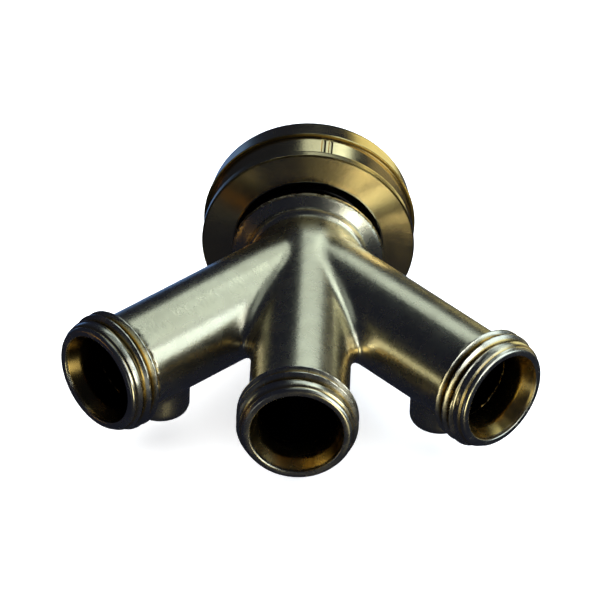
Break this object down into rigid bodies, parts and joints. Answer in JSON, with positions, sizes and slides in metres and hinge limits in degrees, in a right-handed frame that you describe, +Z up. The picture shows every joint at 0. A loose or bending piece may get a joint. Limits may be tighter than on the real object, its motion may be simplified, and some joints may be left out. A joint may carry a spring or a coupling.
{
  "type": "hose manifold",
  "caption": "Brass three-way hose manifold: a swivel nut on the inlet feeds outlets with short male hose threads, fanned out in one plane from a forged hub.",
  "frame": {"origin": "centre of the bounding box, on the shared axis of the inlet and the middle outlet", "axes": "+Y along the inlet axis, out of the swivel nut; the outlets fan out towards -Y in the XY plane; +Z up, away from the cast pads"},
  "size_m": [0.1058, 0.0882, 0.048],
  "materials": {
    "forged_brass": "satin tumbled forging",
    "turned_brass": "machined",
    "spring_steel": "bright",
    "black_rubber": "matte"
  },
  "bodies": {
    "manifold": {"manifold_body": "forged_brass", "retaining_ring": "spring_steel", "sealing_washer": "black_rubber"},
    "nut": {"swivel_nut": "turned_brass"}
  },
  "joints": [
    {"name": "nut_spin", "type": "hinge", "parent": "manifold", "child": "nut", "pos_m": [0, 0.03605, 0], "axis": [0, 1, 0], "continuous": true}
  ]
}
